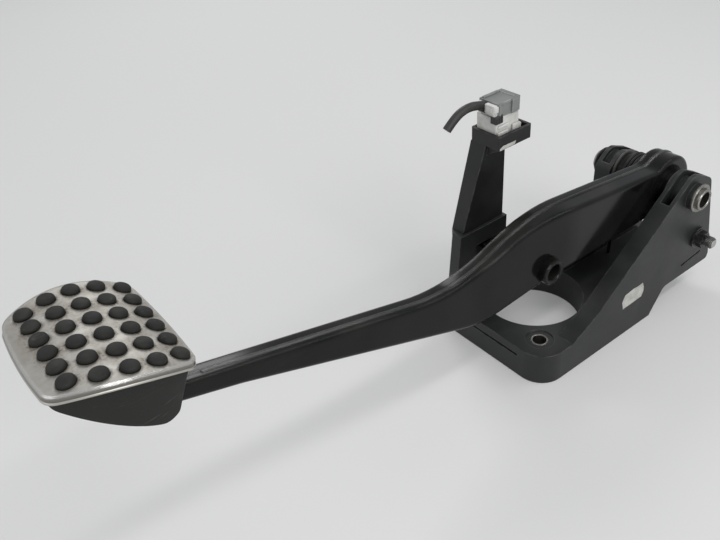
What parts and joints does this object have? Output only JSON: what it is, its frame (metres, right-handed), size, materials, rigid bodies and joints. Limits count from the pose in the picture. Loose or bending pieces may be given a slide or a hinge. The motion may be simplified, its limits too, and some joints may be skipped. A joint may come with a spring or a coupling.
{
  "type": "brake pedal",
  "caption": "Car brake pedal on a moulded bulkhead bracket, with a studded rubber pad under a steel cover and a brake light switch on a tower.",
  "frame": {"origin": "centre of the servo opening on the bulkhead face", "axes": "+X from the pad to the pivot, +Y from the near cheek to the far side, +Z out of the bulkhead"},
  "size_m": [0.4213, 0.1138, 0.1637],
  "materials": {
    "black_moulding": "satin",
    "arm_paint": "semi-gloss",
    "zinc_steel": "zinc plated",
    "stainless": "satin",
    "rubber": "matte",
    "white_plastic": "satin",
    "grey_plastic": "satin",
    "bush_plastic": "satin",
    "spring_steel": "oiled",
    "cable_jacket": "satin",
    "black_steel": "phosphated"
  },
  "bodies": {
    "bracket": {"pedal_bracket": "black_moulding", "stud_sleeve_front": "zinc_steel", "stud_sleeve_rear": "zinc_steel", "pivot_tube": "zinc_steel", "near_retainer": "zinc_steel", "far_retainer": "zinc_steel", "return_spring": "spring_steel", "switch_tower": "black_moulding", "switch_body": "white_plastic", "plunger_spring": "spring_steel", "connector_shell": "grey_plastic", "connector_lock": "white_plastic", "cable_stub": "cable_jacket", "side_bolt": "black_steel", "side_nut": "black_steel"},
    "pedal": {"arm_near_shell": "arm_paint", "arm_far_shell": "arm_paint", "hub_tube": "arm_paint", "near_bush": "bush_plastic", "far_bush": "bush_plastic", "pushrod_sleeve": "zinc_steel", "switch_tab": "arm_paint", "spring_peg": "arm_paint", "pad_plate": "arm_paint", "rubber_pad": "rubber", "cover_plate": "stainless"},
    "plunger": {"switch_plunger": "white_plastic"}
  },
  "joints": [
    {"name": "pedal_pivot", "type": "hinge", "parent": "bracket", "child": "pedal", "pos_m": [0.087, -0.0185, 0.0815], "axis": [0, -1, 0], "range_deg": [0, 13], "stiffness_Nm_per_rad": 4, "springref_deg": -57.3, "deforming": ["return_spring"]},
    {"name": "plunger_slide", "type": "slide", "parent": "bracket", "child": "plunger", "axis": [0, 0, -1], "range_m": [0, 0.005], "deforming": ["plunger_spring"]}
  ],
  "couplings": [
    {"joint": "plunger_slide", "follows": "pedal_pivot", "m_per_rad": 0.022}
  ]
}
